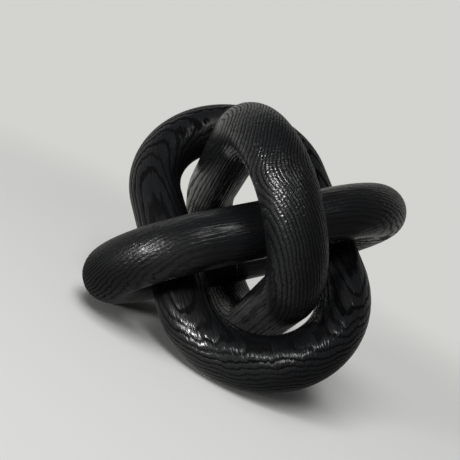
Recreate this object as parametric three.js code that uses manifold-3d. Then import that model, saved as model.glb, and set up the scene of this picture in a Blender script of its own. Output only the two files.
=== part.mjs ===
// A wooden puzzle sculpture: three alike oval rings of round section, each at right angles to
// the other two. They are linked as Borromean rings: the level ring goes round the upright
// ring, the upright ring round the cross ring, and the cross ring round the level ring. No two
// rings are linked by themselves, and together they can't come apart.
// Millimetres, +Z up. The sculpture stands on one end of each ring.

import * as THREE from 'three';
import { mergeVertices } from 'three/addons/utils/BufferGeometryUtils.js';
import Module from 'manifold-3d';

const wasm = await Module();
wasm.setup();

// Driving dimensions of a ring. The end play is how far a ring can slide lengthways in the ring
// that goes round it.
const tubeDiameter = 25.4;
const ringWidth = 99;
const endPlay = 4.1;

// Glued joints of the level ring: it is the one ring that is made as two halves, because the
// last ring can only be closed after the other two are in place.
const glueGap = 0.3;
const dowelDiameter = 10;
const dowelLength = 40;
const dowelChamfer = 1.2;
const dowelSideGap = 0.3;
const dowelEndGap = 1.5;

// How the loose rings lie in each other. The upright ring leans back until it all but meets the
// cross ring. Shifts along the level ring's own axes: right, back and up.
const touchGap = 1.1;
const uprightTurn = 3.5;
const uprightTwist = -2.5;
const uprightShift = new THREE.Vector3(-0.3, -1, 4);
const crossLean = -5.5;
const crossTurn = -0.7;
const crossTwist = -0.7;
const crossShift = new THREE.Vector3(-0.2, -2.5, 4.1);

// Small flat sanded where each ring meets the table.
const restFlatDepth = 0.5;

// Facets.
const tubeSides = 28;
const bendSteps = 18;
const dowelSides = 24;

// Shape of the centreline: two straight runs joined by half circles.
const tubeRadius = tubeDiameter / 2;
const endRadius = ringWidth / 2 - tubeRadius;
const straightHalf = tubeDiameter + endPlay;
const ringLength = 2 * (straightHalf + endRadius + tubeRadius);

const degrees = THREE.MathUtils.degToRad;

// Stations anticlockwise round the centreline, each with its point and its outward direction.
function centreline(stepsPerBend, stepsPerRun) {
  const stations = [];
  for (const end of [1, -1]) {
    for (let step = 0; step <= stepsPerBend; step += 1) {
      const angle = Math.PI * (step / stepsPerBend - 0.5);
      const outward = new THREE.Vector3(end * Math.cos(angle), end * Math.sin(angle), 0);
      const point = new THREE.Vector3(end * straightHalf, 0, 0);
      point.addScaledVector(outward, endRadius);
      stations.push({ point, outward });
    }
    for (let step = 1; step < stepsPerRun; step += 1) {
      const along = end * straightHalf * (1 - (2 * step) / stepsPerRun);
      const point = new THREE.Vector3(along, end * endRadius, 0);
      stations.push({ point, outward: new THREE.Vector3(0, end, 0) });
    }
  }
  return stations;
}

// The whole ring: long axis along X, short axis along Y, flat in Z.
function ringGeometry() {
  const stations = centreline(bendSteps, 1);
  const positions = [];
  for (const { point, outward } of stations) {
    for (let side = 0; side < tubeSides; side += 1) {
      const angle = (2 * Math.PI * side) / tubeSides;
      const vertex = point.clone().addScaledVector(outward, tubeRadius * Math.cos(angle));
      vertex.z += tubeRadius * Math.sin(angle);
      positions.push(vertex.x, vertex.y, vertex.z);
    }
  }
  const index = [];
  for (let station = 0; station < stations.length; station += 1) {
    const here = station * tubeSides;
    const next = ((station + 1) % stations.length) * tubeSides;
    for (let side = 0; side < tubeSides; side += 1) {
      const beside = (side + 1) % tubeSides;
      index.push(here + side, next + side, here + beside);
      index.push(here + beside, next + side, next + beside);
    }
  }
  const geometry = new THREE.BufferGeometry();
  geometry.setAttribute('position', new THREE.Float32BufferAttribute(positions, 3));
  geometry.setIndex(index);
  return geometry;
}

function solidOf(geometry) {
  const bare = geometry.clone();
  bare.deleteAttribute('normal');
  bare.deleteAttribute('uv');
  const merged = mergeVertices(bare, 1e-4);
  return new wasm.Manifold(new wasm.Mesh({
    numProp: 3,
    vertProperties: new Float32Array(merged.attributes.position.array),
    triVerts: new Uint32Array(merged.index.array),
  }));
}

function geometryOf(solid) {
  const mesh = solid.getMesh();
  const geometry = new THREE.BufferGeometry();
  geometry.setAttribute('position', new THREE.BufferAttribute(mesh.vertProperties, 3));
  geometry.setIndex(new THREE.BufferAttribute(mesh.triVerts, 1));
  geometry.computeVertexNormals();
  return geometry;
}

// Where each ring lies, as a matrix from the ring's own axes to the level ring's axes.
function placement(along, across, through, lean, turn, twist, shift) {
  const stand = new THREE.Matrix4().makeBasis(along, across, through);
  const tilt = new THREE.Euler(degrees(lean), degrees(turn), degrees(twist), 'XYZ');
  return new THREE.Matrix4().makeRotationFromEuler(tilt).setPosition(shift).multiply(stand);
}

const right = new THREE.Vector3(1, 0, 0);
const back = new THREE.Vector3(0, 1, 0);
const above = new THREE.Vector3(0, 0, 1);
const levelPlace = new THREE.Matrix4();
const crossPlace = placement(back, above, right, crossLean, crossTurn, crossTwist, crossShift);

function uprightPlaceAt(lean) {
  return placement(above, right, back, lean, uprightTurn, uprightTwist, uprightShift);
}

// Least room between the surfaces of two placed rings, measured from centreline to centreline.
function roomBetween(firstPlace, secondPlace) {
  const bendSamples = 60;
  const runSamples = 30;
  const placed = (place) => centreline(bendSamples, runSamples)
    .map(({ point }) => point.applyMatrix4(place));
  const first = placed(firstPlace);
  const second = placed(secondPlace);
  let least = Infinity;
  for (const a of first) {
    for (const b of second) {
      least = Math.min(least, a.distanceTo(b));
    }
  }
  return least - tubeDiameter;
}

// The lean at which the upright ring all but meets the cross ring, found by halving.
function restingLean() {
  let free = 0;
  let touching = 45;
  for (let round = 0; round < 24; round += 1) {
    const middle = (free + touching) / 2;
    if (roomBetween(uprightPlaceAt(-middle), crossPlace) > touchGap) {
      free = middle;
    } else {
      touching = middle;
    }
  }
  return -free;
}

const uprightPlace = uprightPlaceAt(restingLean());
const places = [levelPlace, uprightPlace, crossPlace];

// The point of a placed ring's centreline that is lowest when up is the given direction.
function lowestPoint(place, up) {
  const inward = place.clone().setPosition(0, 0, 0).transpose();
  const down = up.clone().negate().applyMatrix4(inward);
  down.z = 0;
  down.normalize().multiplyScalar(endRadius);
  down.x += Math.sign(down.x) * straightHalf;
  return down.applyMatrix4(place);
}

// Up, when the left end of the level ring, the foot of the upright ring and the rear end of the
// cross ring all touch the table. Each new tilt moves the lowest points, so it is repeated.
function standingUp() {
  let up = new THREE.Vector3(1, -1, 1).normalize();
  for (let round = 0; round < 30; round += 1) {
    const [first, second, third] = places.map((place) => lowestPoint(place, up));
    const normal = second.clone().sub(first).cross(third.clone().sub(first)).normalize();
    up = normal.multiplyScalar(Math.sign(normal.dot(up)));
  }
  return up;
}

const up = standingUp();
const tableHeight = lowestPoint(levelPlace, up).dot(up) - tubeRadius + restFlatDepth;

// The front of the level ring faces -Y once the sculpture stands.
const backward = back.clone().addScaledVector(up, -back.dot(up)).normalize();
const rightward = backward.clone().cross(up);
const standing = new THREE.Matrix4().makeBasis(rightward, backward, up).transpose();

// A slab below the table, in the axes of a placed ring.
function tableSlab(place) {
  const slab = new THREE.BoxGeometry(2 * ringLength, 2 * ringLength, ringLength);
  slab.translate(0, 0, tableHeight - ringLength / 2);
  slab.applyMatrix4(standing.clone().transpose());
  slab.applyMatrix4(place.clone().invert());
  return solidOf(slab);
}

function restingRing(place) {
  return solidOf(ringGeometry()).subtract(tableSlab(place));
}

// A chamfered dowel or its bore, along X in the middle of one straight run.
function rodAt(run, diameter, length, chamfer) {
  const radius = diameter / 2;
  const profile = [
    new THREE.Vector2(0, -length / 2),
    new THREE.Vector2(radius - chamfer, -length / 2),
    new THREE.Vector2(radius, chamfer - length / 2),
    new THREE.Vector2(radius, length / 2 - chamfer),
    new THREE.Vector2(radius - chamfer, length / 2),
    new THREE.Vector2(0, length / 2),
  ];
  const rod = new THREE.LatheGeometry(profile, dowelSides);
  rod.rotateZ(-Math.PI / 2);
  rod.translate(0, run * endRadius, 0);
  return solidOf(rod);
}

// One half of the level ring, on the left (-1) or the right (1) of the two glued joints.
function levelHalf(whole, hand) {
  const otherSide = new THREE.BoxGeometry(ringLength, 2 * ringWidth, ringWidth);
  otherSide.translate((hand * (glueGap - ringLength)) / 2, 0, 0);
  let half = whole.subtract(solidOf(otherSide));
  for (const run of [1, -1]) {
    const boreDiameter = dowelDiameter + 2 * dowelSideGap;
    const boreLength = dowelLength + 2 * dowelEndGap;
    half = half.subtract(rodAt(run, boreDiameter, boreLength, dowelChamfer));
  }
  return half;
}

function blackenedWood() {
  return new THREE.MeshStandardMaterial({ color: 0x1d1c1b, roughness: 0.5, metalness: 0 });
}

function bareBeech() {
  return new THREE.MeshStandardMaterial({ color: 0xc9a77c, roughness: 0.7, metalness: 0 });
}

function pieceNamed(name, solid, material, place) {
  const mesh = new THREE.Mesh(geometryOf(solid), material);
  mesh.name = name;
  mesh.applyMatrix4(place);
  return mesh;
}

function levelRing() {
  const group = new THREE.Group();
  const whole = restingRing(levelPlace);
  const left = levelHalf(whole, -1);
  const rightHand = levelHalf(whole, 1);
  group.add(pieceNamed('level_ring_left_half', left, blackenedWood(), levelPlace));
  group.add(pieceNamed('level_ring_right_half', rightHand, blackenedWood(), levelPlace));
  for (const [name, run] of [['level_ring_front_dowel', -1], ['level_ring_rear_dowel', 1]]) {
    const dowel = rodAt(run, dowelDiameter, dowelLength, dowelChamfer);
    group.add(pieceNamed(name, dowel, bareBeech(), levelPlace));
  }
  return group;
}

const sculpture = new THREE.Group();
sculpture.add(levelRing());
sculpture.add(pieceNamed('upright_ring', restingRing(uprightPlace), blackenedWood(), uprightPlace));
sculpture.add(pieceNamed('cross_ring', restingRing(crossPlace), blackenedWood(), crossPlace));

// Stand it on the table, with the origin below the middle of its bounding box.
sculpture.applyMatrix4(standing);
sculpture.updateMatrixWorld(true);
const box = new THREE.Box3().setFromObject(sculpture, true);
const middle = box.getCenter(new THREE.Vector3());
sculpture.position.set(-middle.x, -middle.y, -box.min.z);

export default sculpture;
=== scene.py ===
# Finished wood and studio for a puzzle sculpture of three linked rings, over its fixed CAD model.

import math

import bmesh
import bpy
import numpy as np
from bpy.props import FloatProperty, FloatVectorProperty, PointerProperty
from mathutils import Euler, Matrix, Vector


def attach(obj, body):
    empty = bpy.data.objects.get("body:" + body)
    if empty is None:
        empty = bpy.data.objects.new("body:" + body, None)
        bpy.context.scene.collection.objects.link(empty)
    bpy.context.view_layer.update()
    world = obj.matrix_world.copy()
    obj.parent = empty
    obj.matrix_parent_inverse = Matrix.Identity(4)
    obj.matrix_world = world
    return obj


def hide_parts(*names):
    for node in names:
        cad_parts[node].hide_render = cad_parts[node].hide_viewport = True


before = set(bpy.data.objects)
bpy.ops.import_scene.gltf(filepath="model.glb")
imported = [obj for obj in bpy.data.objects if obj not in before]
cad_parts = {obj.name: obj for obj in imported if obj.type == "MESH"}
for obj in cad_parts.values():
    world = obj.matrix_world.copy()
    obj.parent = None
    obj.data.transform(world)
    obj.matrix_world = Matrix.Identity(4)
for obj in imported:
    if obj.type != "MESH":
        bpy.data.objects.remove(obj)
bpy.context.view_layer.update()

bl_info = {
    "name": "Linked Ring Sculpture",
    "version": (1, 0, 0),
    "blender": (4, 5, 0),
    "location": "View3D > Sidebar > Sculpture",
    "description": "Dresses the three linked rings in blackened wood and sets up the studio",
    "category": "Object",
}

MILLIMETRE = 0.001

# Room beside and beyond a dowel in its bore, and the bevel at the bore's bottom
DOWEL_SIDE_GAP = 0.3 * MILLIMETRE
DOWEL_END_GAP = 1.5 * MILLIMETRE
BORE_CHAMFER = 1.2 * MILLIMETRE

# Points closer than this are one, and edges sharper than this are shaded sharp
MERGE_DISTANCE = 0.02 * MILLIMETRE
SHARP_ANGLE = math.radians(60)

# Waves of each noise to a metre along, across and through the board
DRIFT_WAVES = (11.0, 32.0, 32.0)
FLAME_WAVES = (16.0, 140.0, 140.0)
TEETH_WAVES = (80.0, 700.0, 700.0)
FIBRE_WAVES = (65.0, 900.0, 900.0)
FINE_WAVES = (130.0, 1500.0, 1500.0)
CHAR_WAVES = (25.0, 60.0, 60.0)
OPEN_WAVES = (18.0, 45.0, 45.0)

# Waves to a metre along and across the board, and to one growth layer
TORN_WAVES = (60.0, 110.0, 2.6)

# Waves to a metre of the dowels' grain and flecks, along X, Y and Z
BEECH_WAVES = (300.0, 900.0, 500.0)
FLECK_WAVES = (700.0, 2500.0, 1200.0)

# Middle of the early wood and half the width of its dark line, as shares of a growth layer
EARLY_WOOD = 0.35
EARLY_HALF_WIDTH = 0.24

# Coming in from each end of the board: where the lines begin to weaken and where they are
# weakest, in metres
RIGHT_FADE = (0.066, 0.042)
LEFT_FADE = (-0.079, -0.068)

# How many times as long along the board as across it a knot or burl reaches
KNOT_STRETCH = 3

# Heights of the fine relief that the wood's bump shades, in millimetres
FIBRE_HEIGHT = 0.27
TORN_HEIGHT = 0.12
FINE_HEIGHT = 0.08
EARLY_DEPTH = 0.12
PORE_DEPTH = 0.02

# Point near the sculpture's middle that every lamp shines on, in metres
LAMP_TARGET = (0.0, 0.0, 0.055)

# Level direction from the sculpture to the painted glow on the floor below the window lamp
WINDOW_SIDE = (-0.78, -0.62)

# Values that each point of a ring keeps for its material, next to its place on the board
KEPT_VALUES = ("growth", "lines", "dullness")


# The rings as the CAD model has them

def triangles_of(nodes):
    """Corners of every triangle of the named nodes, as an array of n by 3 by 3."""
    found = []
    for node in nodes:
        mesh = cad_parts[node].data
        mesh.calc_loop_triangles()
        points = np.empty(len(mesh.vertices) * 3)
        mesh.vertices.foreach_get("co", points)
        corners = np.empty(len(mesh.loop_triangles) * 3, dtype=np.int32)
        mesh.loop_triangles.foreach_get("vertices", corners)
        found.append(points.reshape(-1, 3)[corners].reshape(-1, 3, 3))
    return np.concatenate(found)


def ring_place(nodes, long_side, short_side):
    """Centre of a ring and its long, short and through axes, from the moments of its volume.

    Each triangle spans a tetrahedron with the origin. A sixth, a quarter and a twentieth are
    the shares in a tetrahedron's volume, centre and second moments.
    """
    corners = triangles_of(nodes)
    first, second, third = corners[:, 0], corners[:, 1], corners[:, 2]
    volumes = np.einsum("ij,ij->i", first, np.cross(second, third)) / 6
    sums = corners.sum(axis=1)
    centre = (volumes[:, None] * sums).sum(axis=0) / 4 / volumes.sum()
    spread = np.einsum("i,ij,ik->jk", volumes, sums, sums)
    for corner in (first, second, third):
        spread += np.einsum("i,ij,ik->jk", volumes, corner, corner)
    spread = spread / 20 / volumes.sum() - np.outer(centre, centre)
    axes = np.linalg.eigh(spread)[1]
    long_axis = axes[:, 2] * np.sign(axes[:, 2] @ long_side)
    short_axis = axes[:, 1] * np.sign(axes[:, 1] @ short_side)
    return centre, np.array([long_axis, short_axis, np.cross(long_axis, short_axis)])


LEVEL_NODES = ("level_ring_left_half", "level_ring_right_half")
DOWEL_NODES = ("level_ring_front_dowel", "level_ring_rear_dowel")
LEVEL_PLACE = ring_place(LEVEL_NODES, (1, 0, 0), (0, 1, 0))
UPRIGHT_PLACE = ring_place(["upright_ring"], (0, 0, 1), (1, 0, 0))
CROSS_PLACE = ring_place(["cross_ring"], (0, 1, 0), (0, 0, 1))


def reach(nodes, place):
    """How far a ring reaches from its centre along its long, short and through axes."""
    centre, axes = place
    return np.abs((triangles_of(nodes).reshape(-1, 3) - centre) @ axes.T).max(axis=0)


def rod_sizes(node, place):
    """Radius and length of a dowel that lies along a ring's long axis."""
    centre, axes = place
    along = (triangles_of([node]).reshape(-1, 3) - centre) @ axes.T
    lowest, highest = along.min(axis=0), along.max(axis=0)
    return (highest[2] - lowest[2]) / 2, highest[0] - lowest[0]


LEVEL_REACH = reach(LEVEL_NODES, LEVEL_PLACE)
DOWEL_RADIUS, DOWEL_LENGTH = rod_sizes(DOWEL_NODES[0], LEVEL_PLACE)


# Sizes and colours that a user would change

class RingSizes(bpy.types.PropertyGroup):
    """Sizes of one ring, of its glued joints and of the grooves cut in it."""

    tube_radius: FloatProperty(
        name="Tube radius", description="Radius of the ring's round section",
        default=float(LEVEL_REACH[2]), unit="LENGTH")
    half_width: FloatProperty(
        name="Half width", description="Half of the ring's width, over the wood",
        default=float(LEVEL_REACH[1]), unit="LENGTH")
    half_length: FloatProperty(
        name="Half length", description="Half of the ring's length, over the wood",
        default=float(LEVEL_REACH[0]), unit="LENGTH")
    skin: FloatProperty(
        name="Skin", description="How far the finished surface lies inside the CAD surface",
        default=0.27 * MILLIMETRE, unit="LENGTH")
    groove_depth: FloatProperty(
        name="Groove depth", description="Depth of the deepest early wood below the late wood",
        default=0.13 * MILLIMETRE, unit="LENGTH")
    joint_gap: FloatProperty(
        name="Joint gap", description="Hairline left between the glued halves",
        default=0.06 * MILLIMETRE, unit="LENGTH")
    bore_radius: FloatProperty(
        name="Bore radius", description="Radius of the bores that take the dowels",
        default=float(DOWEL_RADIUS) + DOWEL_SIDE_GAP, unit="LENGTH")
    bore_depth: FloatProperty(
        name="Bore depth", description="Depth of each dowel bore in its half",
        default=float(DOWEL_LENGTH) / 2 + DOWEL_END_GAP, unit="LENGTH")
    cell: FloatProperty(
        name="Cell", description="Edge of the faces that the surface is made of",
        default=0.54 * MILLIMETRE, unit="LENGTH")


class WoodLook(bpy.types.PropertyGroup):
    """Colours and gloss of the blackened wood, and colours of the dowels."""

    ridge: FloatVectorProperty(
        name="Ridge", description="Hard late wood, which the brushing leaves proud",
        default=(0.0058, 0.0062, 0.0072), subtype="COLOR", size=3)
    groove: FloatVectorProperty(
        name="Groove", description="Charred open early wood between the ridges",
        default=(0.0012, 0.0012, 0.0012), subtype="COLOR", size=3)
    warm: FloatVectorProperty(
        name="Warm", description="Brown that shows where the char is thin",
        default=(0.0115, 0.01, 0.0092), subtype="COLOR", size=3)
    roughness: FloatProperty(
        name="Roughness", description="Roughness of the oiled ridges, before what dulls them",
        default=0.23, min=0, max=1)
    beech: FloatVectorProperty(
        name="Beech", description="Bare beech of the dowels",
        default=(0.55, 0.38, 0.22), subtype="COLOR", size=3)
    fleck: FloatVectorProperty(
        name="Fleck", description="Darker flecks in the beech",
        default=(0.33, 0.19, 0.1), subtype="COLOR", size=3)


class StudioLook(bpy.types.PropertyGroup):
    """Camera, floor, backdrop and air of the studio."""

    camera_place: FloatVectorProperty(
        name="Camera place", description="Where the camera stands",
        default=(-0.06596, -0.38138, 0.10809), subtype="TRANSLATION", size=3)
    camera_turn: FloatVectorProperty(
        name="Camera turn", description="How the camera is turned",
        default=tuple(math.radians(degrees) for degrees in (81.443, -25.951, -4.438)),
        subtype="EULER", size=3)
    lens: FloatProperty(
        name="Lens", description="Focal length in millimetres on a 36 mm wide sensor",
        default=64.826, min=1)
    paper: FloatVectorProperty(
        name="Paper", description="Floor as the camera sees it, under the lamps",
        default=(0.88, 0.88, 0.855), subtype="COLOR", size=3)
    backdrop: FloatVectorProperty(
        name="Backdrop", description="Tone of the floor and backdrop far from the sculpture",
        default=(0.65, 0.655, 0.625), subtype="COLOR", size=3)
    dim_paper: FloatVectorProperty(
        name="Dim paper", description="Floor and backdrop as the sculpture is lit by them",
        default=(0.3, 0.3, 0.29), subtype="COLOR", size=3)
    # Painted reflection: the dim room that only the sculpture's gloss shows
    dark_room: FloatVectorProperty(
        name="Dark room", description="Darkest tone that the sculpture mirrors",
        default=(0.1, 0.1, 0.1), subtype="COLOR", size=3)
    # Painted glow: a patch of floor brighter than white that only the sculpture's gloss shows
    sill_painted_glow: FloatVectorProperty(
        name="Sill", description="What the sculpture mirrors of the floor below the window lamp",
        default=(1.5, 1.5, 1.5), subtype="COLOR", size=3)
    air: FloatVectorProperty(
        name="Air", description="Colour of the weak light that comes from all round",
        default=(0.9, 0.95, 1.0), subtype="COLOR", size=3)
    air_strength: FloatProperty(
        name="Air strength", description="Strength of the weak light that comes from all round",
        default=0.12, min=0)


# Node trees

class Wire:
    """A value on its way through a node tree. Python's operators on it add Math nodes."""

    def __init__(self, plan, socket):
        self.plan = plan
        self.socket = socket

    def maths(self, operation, *values):
        """Math node of the given operation on this value and the others."""
        values = (self,) + values
        return self.plan.add("ShaderNodeMath", {"operation": operation}, dict(enumerate(values)))

    def __add__(self, other):
        return self.maths("ADD", other)

    __radd__ = __add__

    def __mul__(self, other):
        return self.maths("MULTIPLY", other)

    __rmul__ = __mul__

    def __sub__(self, other):
        return self.maths("SUBTRACT", other)

    def __rsub__(self, other):
        return self * -1 + other

    def __truediv__(self, other):
        return self.maths("DIVIDE", other)

    def between(self, low, high):
        """This value, held between two limits."""
        return self.maths("MAXIMUM", low).maths("MINIMUM", high)

    def line(self, middle, half_width):
        """1 in the core of a line round the middle, falling to 0 at half the line's width."""
        core = half_width * 0.35
        return 1 - (self - middle).maths("ABSOLUTE").step(core, half_width)

    def step(self, start, end):
        """0 up to the start and 1 from the end on, with a smooth rise. The end may be the lower."""
        return self.plan.add(
            "ShaderNodeMapRange", {"interpolation_type": "SMOOTHSTEP"},
            {"Value": self, "From Min": start, "From Max": end, "To Min": 0.0, "To Max": 1.0})


class Plan:
    """A node tree that is being drawn up."""

    def __init__(self, tree):
        self.tree = tree
        tree.nodes.clear()

    def add(self, kind, settings=None, sockets=None, output=0):
        """New node of a kind, with its settings first and then the values or links of its sockets."""
        node = self.tree.nodes.new(kind)
        for name, value in (settings or {}).items():
            setattr(node, name, value)
        for key, value in (sockets or {}).items():
            self.feed(self.find(node.inputs, key), value)
        if not node.outputs:
            return None
        return Wire(self, self.find(node.outputs, output))

    def find(self, sockets, key):
        """The socket at this place, or the one in use that has this name."""
        if isinstance(key, int):
            return sockets[key]
        return next(socket for socket in sockets if socket.name == key and socket.enabled)

    def feed(self, socket, value):
        """Links a value into a socket, or sets it there when it is a plain one."""
        if isinstance(value, Wire):
            self.tree.links.new(value.socket, socket)
        else:
            socket.default_value = value

    def parts(self, vector):
        """The three parts of a vector."""
        split = self.add("ShaderNodeSeparateXYZ", {}, {0: vector})
        return [Wire(self, output) for output in split.socket.node.outputs]

    def vector(self, x, y, z):
        """A vector of three values."""
        return self.add("ShaderNodeCombineXYZ", {}, {0: x, 1: y, 2: z})

    def stretched(self, vector, factors):
        """A vector with each part times its own factor."""
        return self.add("ShaderNodeVectorMath", {"operation": "MULTIPLY"}, {0: vector, 1: factors})

    def noise(self, vector, detail, output=0):
        """Smooth noise of about one wave to each unit of the vector."""
        return self.add(
            "ShaderNodeTexNoise", {"noise_dimensions": "3D"},
            {"Vector": vector, "Scale": 1.0, "Detail": detail, "Roughness": 0.5}, output)

    def mixed(self, factor, first, second):
        """A colour between two others."""
        return self.add(
            "ShaderNodeMix", {"data_type": "RGBA", "blend_type": "MIX"},
            {0: factor, 6: first, 7: second}, 2)

    def stored(self, geometry, name, value, data_type="FLOAT"):
        """A geometry whose points keep a value under a name."""
        return self.add(
            "GeometryNodeStoreNamedAttribute", {"data_type": data_type, "domain": "POINT"},
            {"Geometry": geometry, "Name": name, "Value": value})

    def kept(self, name, output="Fac"):
        """The value that a piece's points keep under a name."""
        settings = {"attribute_type": "GEOMETRY", "attribute_name": name}
        return self.add("ShaderNodeAttribute", settings, {}, output)

    def layer_strength(self, growth):
        """How open the early wood of each growth layer is, from 0.6 to 1."""
        chance = self.add(
            "ShaderNodeTexWhiteNoise", {"noise_dimensions": "1D"},
            {"W": growth.maths("FLOOR") + 0.5}, "Value")
        return chance * 0.4 + 0.6


def valley_at(phase):
    """1 in the middle of a layer's early wood, and 0 half a layer away from there."""
    return ((phase - EARLY_WOOD) * (2 * math.pi)).maths("COSINE") * 0.5 + 0.5


def colour(value):
    """A colour socket's value, with nothing see-through."""
    return (*value, 1.0)


# Form of the rings

RING_FORM_INPUTS = (
    ("Stations", "NodeSocketInt"),
    ("Sides", "NodeSocketInt"),
    ("Start", "NodeSocketFloat"),
    ("Span", "NodeSocketFloat"),
    ("Half Run", "NodeSocketFloat"),
    ("End Radius", "NodeSocketFloat"),
    ("Tube Radius", "NodeSocketFloat"),
    ("Layer Spacing", "NodeSocketFloat"),
    ("Pith Across", "NodeSocketFloat"),
    ("Pith Through", "NodeSocketFloat"),
    ("Slope Across", "NodeSocketFloat"),
    ("Slope Through", "NodeSocketFloat"),
    ("Bow Across", "NodeSocketFloat"),
    ("Bow Through", "NodeSocketFloat"),
    ("Knot Along", "NodeSocketFloat"),
    ("Knot Across", "NodeSocketFloat"),
    ("Knot Size", "NodeSocketFloat"),
    ("Knot Lift", "NodeSocketFloat"),
    ("Burl Along", "NodeSocketFloat"),
    ("Burl Across", "NodeSocketFloat"),
    ("Burl Size", "NodeSocketFloat"),
    ("Burl Lift", "NodeSocketFloat"),
    ("Wander", "NodeSocketFloat"),
    ("Flame", "NodeSocketFloat"),
    ("Teeth", "NodeSocketFloat"),
    ("Run Lines", "NodeSocketFloat"),
    ("Dullness", "NodeSocketFloat"),
    ("Dullness Along", "NodeSocketFloat"),
    ("Groove Depth", "NodeSocketFloat"),
    ("Seed", "NodeSocketVector"),
    ("Wood", "NodeSocketMaterial"),
)


def oval_path(given, way):
    """Place on a ring's centreline after some way along it, and the direction outwards there.

    The way leads from the middle of the front run round the right end, then back round the left.
    """
    half_run = given["Half Run"]
    end_radius = given["End Radius"]
    bend = end_radius * math.pi
    half_path = half_run * 2 + bend
    halves = (way / half_path).maths("FLOOR")
    side = 1 - 2 * halves.maths("FLOORED_MODULO", 2.0)
    distance = way - halves * half_path
    angle = ((distance - half_run) / end_radius).between(0.0, math.pi)
    out_x = angle.maths("SINE")
    out_y = angle.maths("COSINE") * -1
    path_x = distance.between(0.0, half_run) - (distance - half_run - bend).between(0.0, half_run)
    path_x = (path_x + end_radius * out_x) * side
    path_y = end_radius * out_y * side
    return (path_x, path_y), (out_x * side, out_y * side)


def growth_layers(plan, given, board):
    """How many growth layers lie between the pith and each place on the board.

    The layers are shells round a pith that lies slant and bowed, wanders a little, and swerves
    round a knot and a burl. Flames and teeth are drawn out along the fibres.
    """
    x, y, z = plan.parts(board)
    slow = plan.add("ShaderNodeVectorMath", {"operation": "ADD"}, {
        0: plan.stretched(board, DRIFT_WAVES), 1: given["Seed"]})
    drift = plan.parts(plan.noise(slow, 1.0, "Color"))
    through = z - given["Pith Through"] + (drift[2] - 0.5) * given["Wander"]
    for swelling in ("Knot", "Burl"):
        along = (x - given[swelling + " Along"]) / (given[swelling + " Size"] * KNOT_STRETCH)
        beside = (y - given[swelling + " Across"]) / given[swelling + " Size"]
        through = through + given[swelling + " Lift"] / (1 + along * along + beside * beside)
    through = through + x * given["Slope Through"] + x * x * given["Bow Through"]
    across = y - given["Pith Across"] + (drift[1] - 0.5) * given["Wander"]
    across = across + x * given["Slope Across"] + x * x * given["Bow Across"]
    growth = (across * across + through * through).maths("SQRT") / given["Layer Spacing"]
    for name, waves in (("Flame", FLAME_WAVES), ("Teeth", TEETH_WAVES)):
        streaks = plan.noise(plan.stretched(board, waves), 1.0)
        growth = growth + (streaks - 0.5) * given[name]
    return growth


def ring_form():
    """Tree that sweeps a round section along an oval path, and cuts the growth layers in it."""
    name = "ring form"
    if name in bpy.data.node_groups:
        return bpy.data.node_groups[name]
    tree = bpy.data.node_groups.new(name, "GeometryNodeTree")
    tree.is_modifier = True
    for socket_name, kind in RING_FORM_INPUTS:
        tree.interface.new_socket(name=socket_name, in_out="INPUT", socket_type=kind)
    tree.interface.new_socket(name="Ring", in_out="OUTPUT", socket_type="NodeSocketGeometry")
    plan = Plan(tree)
    entry = plan.add("NodeGroupInput").socket.node
    given = {socket.name: Wire(plan, socket) for socket in entry.outputs if socket.name}

    # A unit sheet: its length becomes the way along the path, its breadth the way round the tube
    sheet = plan.add("GeometryNodeMeshGrid", {}, {
        "Size X": 1.0, "Size Y": 1.0,
        "Vertices X": given["Stations"] + 1, "Vertices Y": given["Sides"] + 1}, "Mesh")
    ways = plan.parts(plan.add("GeometryNodeInputPosition"))
    way = (ways[0] + 0.5) * given["Span"] + given["Start"]
    round_tube = (ways[1] + 0.5) * (2 * math.pi)

    # The tube round the path
    path, outward = oval_path(given, way)
    aside = round_tube.maths("COSINE")
    normal = plan.vector(outward[0] * aside, outward[1] * aside, round_tube.maths("SINE"))
    tube = given["Tube Radius"]
    place = plan.add("ShaderNodeVectorMath", {"operation": "MULTIPLY_ADD"}, {
        0: normal, 1: plan.vector(tube, tube, tube), 2: plan.vector(path[0], path[1], 0.0)})
    shaped = plan.add("GeometryNodeSetPosition", {}, {"Geometry": sheet, "Position": place})

    # What the points keep: weaker lines on the runs, and rougher wood with painted shade to one end
    board = plan.add("GeometryNodeInputPosition")
    x = plan.parts(board)[0]
    growth = growth_layers(plan, given, board)
    on_run = x.step(*RIGHT_FADE) * x.step(*LEFT_FADE)
    lines = 1 - on_run * (1 - given["Run Lines"])
    dullness = given["Dullness"] + x * given["Dullness Along"]
    keeping = plan.stored(shaped, "board", board, "FLOAT_VECTOR")
    for value_name, value in zip(KEPT_VALUES, (growth, lines, dullness)):
        keeping = plan.stored(keeping, value_name, value)

    # The early wood of each layer is brushed out below the late wood
    valley = valley_at(growth.maths("FRACT"))
    cut = valley * plan.layer_strength(growth) * given["Groove Depth"] * -1
    inwards = plan.add("ShaderNodeVectorMath", {"operation": "SCALE"}, {0: normal, "Scale": cut})
    grooved = plan.add("GeometryNodeSetPosition", {}, {"Geometry": keeping, "Offset": inwards})
    real = plan.add("GeometryNodeRealizeInstances", {}, {"Geometry": grooved})
    done = plan.add("GeometryNodeSetMaterial", {}, {"Geometry": real, "Material": given["Wood"]})
    plan.add("NodeGroupOutput", {}, {0: done})
    return tree


def grown(name, values):
    """New object with the plain mesh that the ring form makes of the given values."""
    tree = ring_form()
    piece = bpy.data.objects.new(name, bpy.data.meshes.new(name))
    bpy.context.scene.collection.objects.link(piece)
    modifier = piece.modifiers.new("ring form", "NODES")
    modifier.node_group = tree
    for item in tree.interface.items_tree:
        if item.in_out == "INPUT":
            modifier[item.identifier] = values[item.name]
    graph = bpy.context.evaluated_depsgraph_get()
    made = bpy.data.meshes.new_from_object(
        piece.evaluated_get(graph), preserve_all_data_layers=True, depsgraph=graph)
    piece.modifiers.clear()
    piece.data = made
    made.name = name
    return piece


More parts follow.
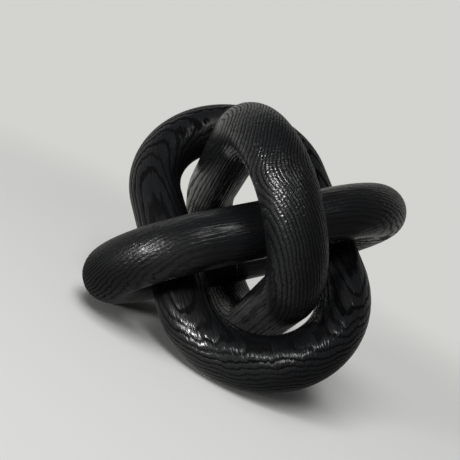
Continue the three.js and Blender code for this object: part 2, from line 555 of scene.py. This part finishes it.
def joint_loops(solid):
    """The open edge loops of a half ring, one at each glued joint, as lists of vertices in order."""
    open_edges = [edge for edge in solid.edges if edge.is_boundary]
    loops = []
    while open_edges:
        edge = open_edges.pop()
        loop = [edge.verts[0], edge.verts[1]]
        while True:
            following = [near for near in loop[-1].link_edges if near in open_edges]
            if not following:
                break
            open_edges.remove(following[0])
            loop.append(following[0].other_vert(loop[-1]))
        loops.append(loop[:-1])
    return loops


def close_joint(solid, loop, hand, sizes):
    """Flat face at a glued joint, with the bore for half of a dowel."""
    board = solid.verts.layers.float_vector["board"]
    kept = [solid.verts.layers.float[name] for name in KEPT_VALUES]
    middle = sum((vertex.co for vertex in loop), Vector()) / len(loop)
    for vertex in loop:
        vertex.co.x = hand * sizes.joint_gap / 2

    # Radius and depth of each round of the bore, down to a small one that closes its bottom
    rounds = (
        (sizes.bore_radius, 0.0),
        (sizes.bore_radius, sizes.bore_depth - BORE_CHAMFER),
        (sizes.bore_radius - BORE_CHAMFER, sizes.bore_depth),
        (sizes.bore_radius / 4, sizes.bore_depth),
    )
    outer = loop
    for radius, depth in rounds:
        inner = []
        for vertex in loop:
            away = vertex.co - middle
            away.x = 0
            point = middle + away.normalized() * radius
            point.x = hand * (sizes.joint_gap / 2 + depth)
            made = solid.verts.new(point)
            made[board] = point
            for layer in kept:
                made[layer] = vertex[layer]
            inner.append(made)
        for here in range(len(loop)):
            beside = (here + 1) % len(loop)
            solid.faces.new((outer[here], outer[beside], inner[beside], inner[here]))
        outer = inner
    solid.faces.new(outer)


def finish_mesh(piece, place, hand, sizes):
    """Closes a ring's mesh, sets it in its place, and cuts it flat where it meets the table."""
    solid = bmesh.new()
    solid.from_mesh(piece.data)
    bmesh.ops.remove_doubles(solid, verts=solid.verts, dist=MERGE_DISTANCE)
    if hand:
        for loop in joint_loops(solid):
            close_joint(solid, loop, hand, sizes)
    bmesh.ops.recalc_face_normals(solid, faces=solid.faces)
    centre, axes = place
    for vertex in solid.verts:
        point = centre + np.array(vertex.co) @ axes
        vertex.co = (point[0], point[1], max(point[2], 0.0))
    for face in solid.faces:
        face.smooth = True
    solid.to_mesh(piece.data)
    solid.free()
    piece.data.set_sharp_from_angle(angle=SHARP_ANGLE)


# The board that each ring is cut from. Layer spacing, pith, knot, burl and wander are in
# millimetres. A slope shifts the pith by metres to a metre along the board, and a bow by metres
# to a metre squared. Flame and teeth shift the layers by up to half that many layers either way.
# Run lines is how strong the lines are on the straight runs, where 1 is as strong as on the
# bends. Dullness adds to the roughness, and blends in dark matt char as painted shade that also
# dims the highlights; it grows by dullness along to each metre. A knot or burl without a lift
# leaves the layers as they are.
PLAIN_BOARD = {
    "Knot Along": 0.0, "Knot Across": 0.0, "Knot Size": 10.0, "Knot Lift": 0.0,
    "Burl Along": 0.0, "Burl Across": 0.0, "Burl Size": 10.0, "Burl Lift": 0.0,
}
BOARDS = {
    "upright_ring": {
        "Layer Spacing": 2.0, "Pith Across": -5.0, "Pith Through": 168.0,
        "Slope Across": -0.07, "Slope Through": 0.015, "Bow Across": 0.4, "Bow Through": 1.7,
        "Wander": 2.0, "Flame": 1.5, "Teeth": 0.4,
        "Run Lines": 1.0, "Dullness": 0.05, "Dullness Along": 1.0, "Seed": (3.1, 7.7, 1.3)},
    "cross_ring": {
        "Layer Spacing": 1.4, "Pith Across": -20.0, "Pith Through": 244.0,
        "Slope Across": 0.06, "Slope Through": -0.003, "Bow Across": -0.04, "Bow Through": -0.08,
        "Knot Along": -83.0, "Knot Across": 5.0, "Knot Size": 15.0, "Knot Lift": 10.5,
        "Burl Along": -47.0, "Burl Across": 40.0, "Burl Size": 12.0, "Burl Lift": -7.5,
        "Wander": 1.5, "Flame": 0.7, "Teeth": 0.35,
        "Run Lines": 0.8, "Dullness": 0.055, "Dullness Along": 0.0, "Seed": (9.4, 2.2, 5.9)},
    "level_ring": {
        "Layer Spacing": 1.5, "Pith Across": -16.0, "Pith Through": 52.0,
        "Slope Across": 0.035, "Slope Through": 0.018, "Bow Across": -0.7, "Bow Through": 0.37,
        "Knot Along": 16.6, "Knot Across": -33.0, "Knot Size": 7.9, "Knot Lift": 2.0,
        "Wander": 1.5, "Flame": 1.2, "Teeth": 0.6,
        "Run Lines": 0.35, "Dullness": -0.02, "Dullness Along": -2.6, "Seed": (5.5, 8.8, 4.2)},
}
BOARD_LENGTHS = (
    "Layer Spacing", "Pith Across", "Pith Through", "Knot Along", "Knot Across", "Knot Size",
    "Knot Lift", "Burl Along", "Burl Across", "Burl Size", "Burl Lift", "Wander")


def make_ring(name, body, nodes, place, hand):
    """A whole ring (hand 0), or its right (1) or left half (-1), as a finished piece."""
    sizes = bpy.context.scene.ring_sizes
    tube = sizes.tube_radius - sizes.skin
    end_radius = sizes.half_width - sizes.tube_radius
    half_run = sizes.half_length - sizes.half_width
    half_path = 2 * half_run + math.pi * end_radius
    span = half_path if hand else 2 * half_path
    cell = sizes.cell
    board = {**PLAIN_BOARD, **BOARDS[body]}
    for length in BOARD_LENGTHS:
        board[length] *= MILLIMETRE
    piece = grown(name, {
        "Stations": round(span / cell),
        "Sides": round(2 * math.pi * tube / cell),
        "Start": half_path if hand < 0 else 0.0,
        "Span": span,
        "Half Run": half_run,
        "End Radius": end_radius,
        "Tube Radius": tube,
        "Groove Depth": sizes.groove_depth,
        "Wood": blackened_wood(),
        **board,
    })
    finish_mesh(piece, place, hand, sizes)
    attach(piece, body)
    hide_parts(*nodes)


# Materials

def surface(name):
    """New material, its plan and its Principled shader's node."""
    material = bpy.data.materials.new(name)
    material.use_nodes = True
    plan = Plan(material.node_tree)
    shader = plan.add("ShaderNodeBsdfPrincipled").socket.node
    plan.add("ShaderNodeOutputMaterial", {}, {"Surface": Wire(plan, shader.outputs[0])})
    return material, plan, shader


def blend_shader(plan, factor, shader, other):
    """Shows another shader in place of the material's own one, as far as the factor says."""
    both = plan.add("ShaderNodeMixShader", {}, {
        0: factor, 1: Wire(plan, shader.outputs[0]), 2: other})
    output = next(node for node in plan.tree.nodes if node.type == "OUTPUT_MATERIAL")
    plan.feed(output.inputs["Surface"], both)


def blackened_wood():
    """Charred, brushed and oiled open-grained wood, read from the board that each ring is cut from."""
    name = "blackened wood"
    if name in bpy.data.materials:
        return bpy.data.materials[name]
    look = bpy.context.scene.wood_look
    material, plan, shader = surface(name)
    board = plan.kept("board", "Vector")
    growth, lines, dullness = (plan.kept(value_name) for value_name in KEPT_VALUES)

    # Fibres, torn layers, pores and slow changes of the char
    x, y = plan.parts(board)[:2]
    fibre = plan.noise(plan.stretched(board, FIBRE_WAVES), 1.0)
    torn = plan.noise(plan.stretched(plan.vector(x, y, growth), TORN_WAVES), 1.0)
    fine = plan.noise(plan.stretched(board, FINE_WAVES), 1.0)
    char = plan.noise(plan.stretched(board, CHAR_WAVES), 2.0)
    open_grain = plan.noise(plan.stretched(board, OPEN_WAVES), 1.0).step(0.3, 0.5)

    # Early wood, with edges that the fibres fray, and the pores, which are most open in it
    growth = growth + (fibre - 0.5) * 0.4
    phase = growth.maths("FRACT")
    strength = plan.layer_strength(growth) * (open_grain * 0.25 + 0.75) * lines
    early = phase.line(EARLY_WOOD, EARLY_HALF_WIDTH) * strength
    valley = valley_at(phase) * strength
    pores = fine.step(0.58, 0.68) * (early * 0.6 + 0.4)

    # The oiled late wood
    wood = plan.mixed(char.step(0.45, 0.75) * 0.5, colour(look.ridge), colour(look.warm))
    plan.feed(shader.inputs["Base Color"], wood)
    added_roughness = dullness.between(-0.03, 0.2)
    roughness = look.roughness + added_roughness + (char - 0.5) * 0.15 + (fine - 0.5) * 0.4
    plan.feed(shader.inputs["Roughness"], roughness.between(0.12, 0.6))
    shader.inputs["IOR"].default_value = 1.5
    relief = (fibre - 0.5) * FIBRE_HEIGHT + (torn - 0.5) * TORN_HEIGHT + (fine - 0.5) * FINE_HEIGHT
    bump = plan.add("ShaderNodeBump", {}, {
        "Strength": 1.0, "Distance": MILLIMETRE,
        "Height": relief - valley * EARLY_DEPTH - pores * PORE_DEPTH})
    plan.feed(shader.inputs["Normal"], bump)

    # The matt char in the early wood and the pores, and painted shade over the late wood to one end
    groove = plan.add("ShaderNodeBsdfPrincipled", {}, {
        "Base Color": colour(look.groove), "Roughness": 0.9, "Specular IOR Level": 0.1,
        "Normal": bump})
    # Painted shade: the late wood darkens and loses its highlights toward one end of each ring
    matt_shade = (dullness * 3).between(0.0, 0.55)
    blend_shader(plan, (early + pores * 0.6 + matt_shade).between(0.0, 1.0), shader, groove)
    return material


def bare_beech():
    """Bare beech of the dowels, with short dark flecks along them."""
    name = "bare beech"
    if name in bpy.data.materials:
        return bpy.data.materials[name]
    look = bpy.context.scene.wood_look
    material, plan, shader = surface(name)
    place = plan.add("ShaderNodeTexCoord", {}, {}, "Object")
    grain = plan.noise(plan.stretched(place, BEECH_WAVES), 3.0)
    fleck = plan.noise(plan.stretched(place, FLECK_WAVES), 1.0).step(0.55, 0.7)
    wood = plan.mixed(fleck * 0.6 + grain * 0.3, colour(look.beech), colour(look.fleck))
    plan.feed(shader.inputs["Base Color"], wood)
    plan.feed(shader.inputs["Roughness"], 0.6 + (grain - 0.5) * 0.2)
    bump = plan.add("ShaderNodeBump", {}, {
        "Strength": 0.6, "Distance": 0.05 * MILLIMETRE, "Height": grain})
    plan.feed(shader.inputs["Normal"], bump)
    return material


def studio_paper():
    """Matt paper of the floor and backdrop: pale to the eye, and mostly dim to the sculpture."""
    look = bpy.context.scene.studio_look
    material, plan, shader = surface("studio paper")
    rays = plan.add("ShaderNodeLightPath").socket.node
    eye = Wire(plan, rays.outputs["Is Camera Ray"])
    mirror = Wire(plan, rays.outputs["Is Glossy Ray"])
    glass = Wire(plan, rays.outputs["Is Transmission Ray"])
    plan.feed(shader.inputs["Base Color"],
              plan.mixed(eye, colour(look.dim_paper), colour(look.paper)))
    shader.inputs["Roughness"].default_value = 0.9
    shader.inputs["Specular IOR Level"].default_value = 0.0

    # How far away a place is in metres, and how far right, back and windowwards, from -1 to 1
    x, y = plan.parts(plan.add("ShaderNodeTexCoord", {}, {}, "Object"))[:2]
    away = (x * x + y * y).maths("SQRT") + MILLIMETRE
    right = x / away
    back = y / away
    windowwards = (x * WINDOW_SIDE[0] + y * WINDOW_SIDE[1]) / away

    # Painted reflections, for gloss alone: pale room on the left, behind and in front, dim elsewhere
    near = away.step(1.5, 0.4)
    left = right.step(0.5, -0.7) * near
    behind = back.step(-0.2, 0.95) * (0.35 + right.step(0.4, -0.3) * 0.65)
    front = back.step(-0.5, -0.95) * right.step(0.6, -0.2)
    painted_pale = (away.step(0.05, 0.14) * behind).maths("MAXIMUM", left * 0.16)
    painted_pale = painted_pale.maths("MAXIMUM", front * 0.5)
    painted_room = plan.mixed(painted_pale, colour(look.dark_room), colour(look.backdrop))
    # Painted glow: the floor below the window lamp shines brighter than white, for gloss alone
    painted_glow_patch = windowwards.step(0.75, 1.0) * away.step(0.1, 0.24) * near
    painted_room = plan.mixed(painted_glow_patch, painted_room, colour(look.sill_painted_glow))

    # The even tone takes over from the lit paper far away and in glass, and the painted reflections in
    # gloss
    glow = plan.add("ShaderNodeEmission", {}, {
        "Color": plan.mixed(mirror, colour(look.backdrop), painted_room)})
    even = (eye * away.step(0.14, 0.5)).maths("MAXIMUM", mirror).maths("MAXIMUM", glass)
    blend_shader(plan, even, shader, glow)
    return material


# Pieces

class SCULPTURE_OT_level_ring(bpy.types.Operator):
    """Makes both halves of the level ring and finishes its dowels"""

    bl_idname = "sculpture.level_ring"
    bl_label = "Level Ring"

    def execute(self, context):
        for name, hand in zip(LEVEL_NODES, (-1, 1)):
            make_ring("wood_" + name, "level_ring", [name], LEVEL_PLACE, hand)
        beech = bare_beech()
        for name in DOWEL_NODES:
            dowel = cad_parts[name]
            if not dowel.material_slots:
                raise RuntimeError(name + " has no material slot")
            for held in dowel.material_slots:
                held.material = beech
        return {"FINISHED"}


class SCULPTURE_OT_upright_ring(bpy.types.Operator):
    """Makes the upright ring"""

    bl_idname = "sculpture.upright_ring"
    bl_label = "Upright Ring"

    def execute(self, context):
        make_ring("wood_upright_ring", "upright_ring", ["upright_ring"], UPRIGHT_PLACE, 0)
        return {"FINISHED"}


class SCULPTURE_OT_cross_ring(bpy.types.Operator):
    """Makes the cross ring"""

    bl_idname = "sculpture.cross_ring"
    bl_label = "Cross Ring"

    def execute(self, context):
        make_ring("wood_cross_ring", "cross_ring", ["cross_ring"], CROSS_PLACE, 0)
        return {"FINISHED"}


def paper_bowl():
    """Floor that curves up into a backdrop all round, as one turned sheet."""
    floor_radius = 2.3
    sweep = 0.9
    wall_top = 3.4
    sweep_steps = 24
    turn_steps = 96
    profile = [(radius, 0.0) for radius in (0.0, 0.1, 0.25, 0.5, 0.75, 1.1, 1.5, 1.9)]
    for step in range(sweep_steps + 1):
        angle = math.pi / 2 * step / sweep_steps
        profile.append((floor_radius + sweep * math.sin(angle), sweep * (1 - math.cos(angle))))
    profile.append((floor_radius + sweep, wall_top))
    turned = bmesh.new()
    corners = [turned.verts.new((radius, 0.0, height)) for radius, height in profile]
    edges = [turned.edges.new(pair) for pair in zip(corners, corners[1:])]
    bmesh.ops.spin(
        turned, geom=corners + edges, axis=(0, 0, 1), cent=(0, 0, 0),
        angle=2 * math.pi, steps=turn_steps, use_merge=True)
    bmesh.ops.remove_doubles(turned, verts=turned.verts, dist=MERGE_DISTANCE)
    bmesh.ops.recalc_face_normals(turned, faces=turned.faces)
    for face in turned.faces:
        face.smooth = True
    mesh = bpy.data.meshes.new("paper_bowl")
    turned.to_mesh(mesh)
    turned.free()
    bowl = bpy.data.objects.new("paper_bowl", mesh)
    bpy.context.scene.collection.objects.link(bowl)
    mesh.materials.append(studio_paper())
    return bowl


def lamp(name, towards, distance, width, height, power, mirrored=True):
    """Soft box that shines on the sculpture from a direction, and may show in its gloss."""
    light = bpy.data.lights.new(name, "AREA")
    light.shape = "RECTANGLE"
    light.size = width
    light.size_y = height
    light.energy = power
    holder = bpy.data.objects.new(name, light)
    bpy.context.scene.collection.objects.link(holder)
    direction = Vector(towards).normalized()
    holder.location = Vector(LAMP_TARGET) + direction * distance
    holder.rotation_mode = "QUATERNION"
    holder.rotation_quaternion = (-direction).to_track_quat("-Z", "Y")
    holder.visible_camera = False
    holder.visible_glossy = mirrored


class SCULPTURE_OT_studio(bpy.types.Operator):
    """Sets up the paper floor, the lamps, the world and the camera"""

    bl_idname = "sculpture.studio"
    bl_label = "Studio"

    def execute(self, context):
        scene = context.scene
        look = scene.studio_look
        paper_bowl()
        lamp("window", (-0.77, -0.64, 0.01), distance=1.0, width=0.18, height=0.13, power=9.0)
        lamp("ceiling", (-0.05, -0.7, 0.69), distance=2.2, width=0.55, height=0.7, power=8.5)
        lamp("fill", (-0.25, -0.4, 0.88), distance=2.4, width=1.5, height=1.5, power=34.0,
             mirrored=False)
        world = bpy.data.worlds.new("studio air")
        world.use_nodes = True
        plan = Plan(world.node_tree)
        sky = plan.add("ShaderNodeBackground", {}, {
            "Color": colour(look.air), "Strength": look.air_strength})
        plan.add("ShaderNodeOutputWorld", {}, {"Surface": sky})
        scene.world = world
        camera = bpy.data.cameras.new("photo camera")
        camera.sensor_width = 36.0
        camera.lens = look.lens
        camera.clip_start = 0.01
        holder = bpy.data.objects.new("photo camera", camera)
        scene.collection.objects.link(holder)
        holder.location = look.camera_place
        holder.rotation_euler = Euler(look.camera_turn, "XYZ")
        scene.camera = holder
        scene.view_settings.view_transform = "Standard"
        return {"FINISHED"}


class SCULPTURE_PT_pieces(bpy.types.Panel):
    """Lists the settings and what can be made"""

    bl_idname = "SCULPTURE_PT_pieces"
    bl_label = "Linked Ring Sculpture"
    bl_space_type = "VIEW_3D"
    bl_region_type = "UI"
    bl_category = "Sculpture"

    def draw(self, context):
        for group in ("ring_sizes", "wood_look", "studio_look"):
            column = self.layout.column()
            held = getattr(context.scene, group)
            for name in held.__annotations__:
                column.prop(held, name)
        for operator in OPERATORS:
            self.layout.operator(operator.bl_idname)


OPERATORS = (
    SCULPTURE_OT_studio,
    SCULPTURE_OT_level_ring,
    SCULPTURE_OT_upright_ring,
    SCULPTURE_OT_cross_ring,
)
CLASSES = (RingSizes, WoodLook, StudioLook) + OPERATORS + (SCULPTURE_PT_pieces,)


def register():
    """Makes the classes and settings known to Blender."""
    for kind in CLASSES:
        bpy.utils.register_class(kind)
    bpy.types.Scene.ring_sizes = PointerProperty(type=RingSizes)
    bpy.types.Scene.wood_look = PointerProperty(type=WoodLook)
    bpy.types.Scene.studio_look = PointerProperty(type=StudioLook)


def unregister():
    """Takes them out again."""
    del bpy.types.Scene.studio_look
    del bpy.types.Scene.wood_look
    del bpy.types.Scene.ring_sizes
    for kind in reversed(CLASSES):
        bpy.utils.unregister_class(kind)


def main():
    """Makes every piece and the studio."""
    register()
    bpy.ops.sculpture.studio()
    bpy.ops.sculpture.level_ring()
    bpy.ops.sculpture.upright_ring()
    bpy.ops.sculpture.cross_ring()


if __name__ == "__main__":
    main()
